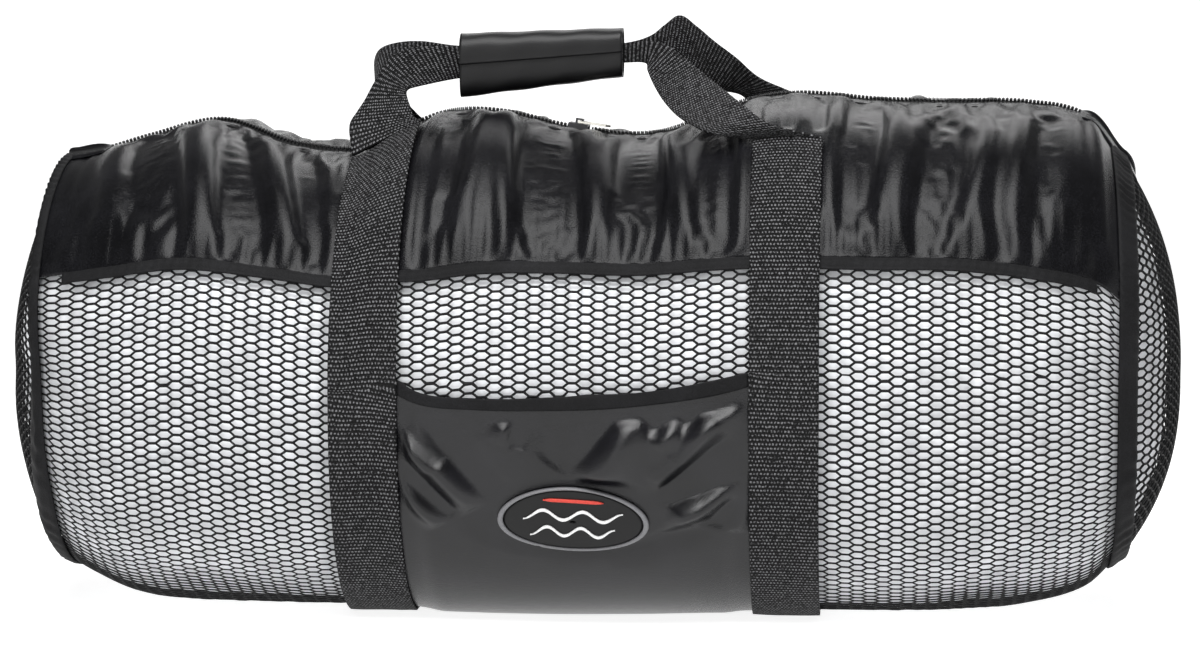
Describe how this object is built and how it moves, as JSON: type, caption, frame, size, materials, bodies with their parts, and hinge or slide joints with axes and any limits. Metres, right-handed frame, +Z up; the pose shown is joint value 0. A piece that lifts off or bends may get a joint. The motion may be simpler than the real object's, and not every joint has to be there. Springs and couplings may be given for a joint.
{
  "type": "mesh dive gear bag with packing filler",
  "caption": "Horizontal barrel bag of nylon and open hexagonal net, with webbing straps, joined carry handles, a coil zip, a front pocket and a rubber badge, stuffed with white packing.",
  "frame": {"origin": "on the floor under the middle of the bag, where its straps and net rest", "axes": "+X along the bag to its right end seen from the front, -Y to the front with the pocket and badge, +Z up to the zip and handles"},
  "size_m": [0.8896, 0.3899, 0.4454],
  "materials": {
    "nylon": "satin coated nylon",
    "net": "matt knitted net",
    "webbing": "matt woven webbing",
    "grip": "satin laminated cloth",
    "zip_cloth": "matt woven tape",
    "coil": "moulded coil",
    "slider_metal": "black enamel",
    "pull_metal": "satin nickel",
    "badge_rubber": "moulded rubber",
    "rim_rubber": "moulded rubber",
    "white_rubber": "moulded rubber",
    "red_rubber": "moulded rubber",
    "packing": "smooth white wadding cover"
  },
  "bodies": {
    "bag": {"front_yoke": "nylon", "back_yoke": "nylon", "body_net": "net", "left_end_net": "net", "right_end_net": "net", "left_end_binding": "nylon", "right_end_binding": "nylon", "left_zip_tab": "nylon", "right_zip_tab": "nylon", "front_hem": "nylon", "back_hem": "nylon", "front_pocket": "nylon", "pocket_hem": "nylon", "left_strap": "webbing", "right_strap": "webbing", "front_handle": "webbing", "back_handle": "webbing", "handle_wrap": "grip", "zip_tape": "zip_cloth", "zip_chain": "coil", "zip_slider": "slider_metal", "badge": "badge_rubber", "badge_rim": "rim_rubber", "badge_wave_upper": "white_rubber", "badge_wave_lower": "white_rubber", "badge_stripe": "red_rubber", "packing_filler": "packing"},
    "pull": {"zip_pull": "pull_metal"}
  },
  "joints": [
    {"name": "pull_hinge", "type": "hinge", "parent": "bag", "child": "pull", "pos_m": [-0.00981, -0.00723, 0.36484], "axis": [-0.096, -0.9952, -0.0188], "range_deg": [0, 170]}
  ]
}
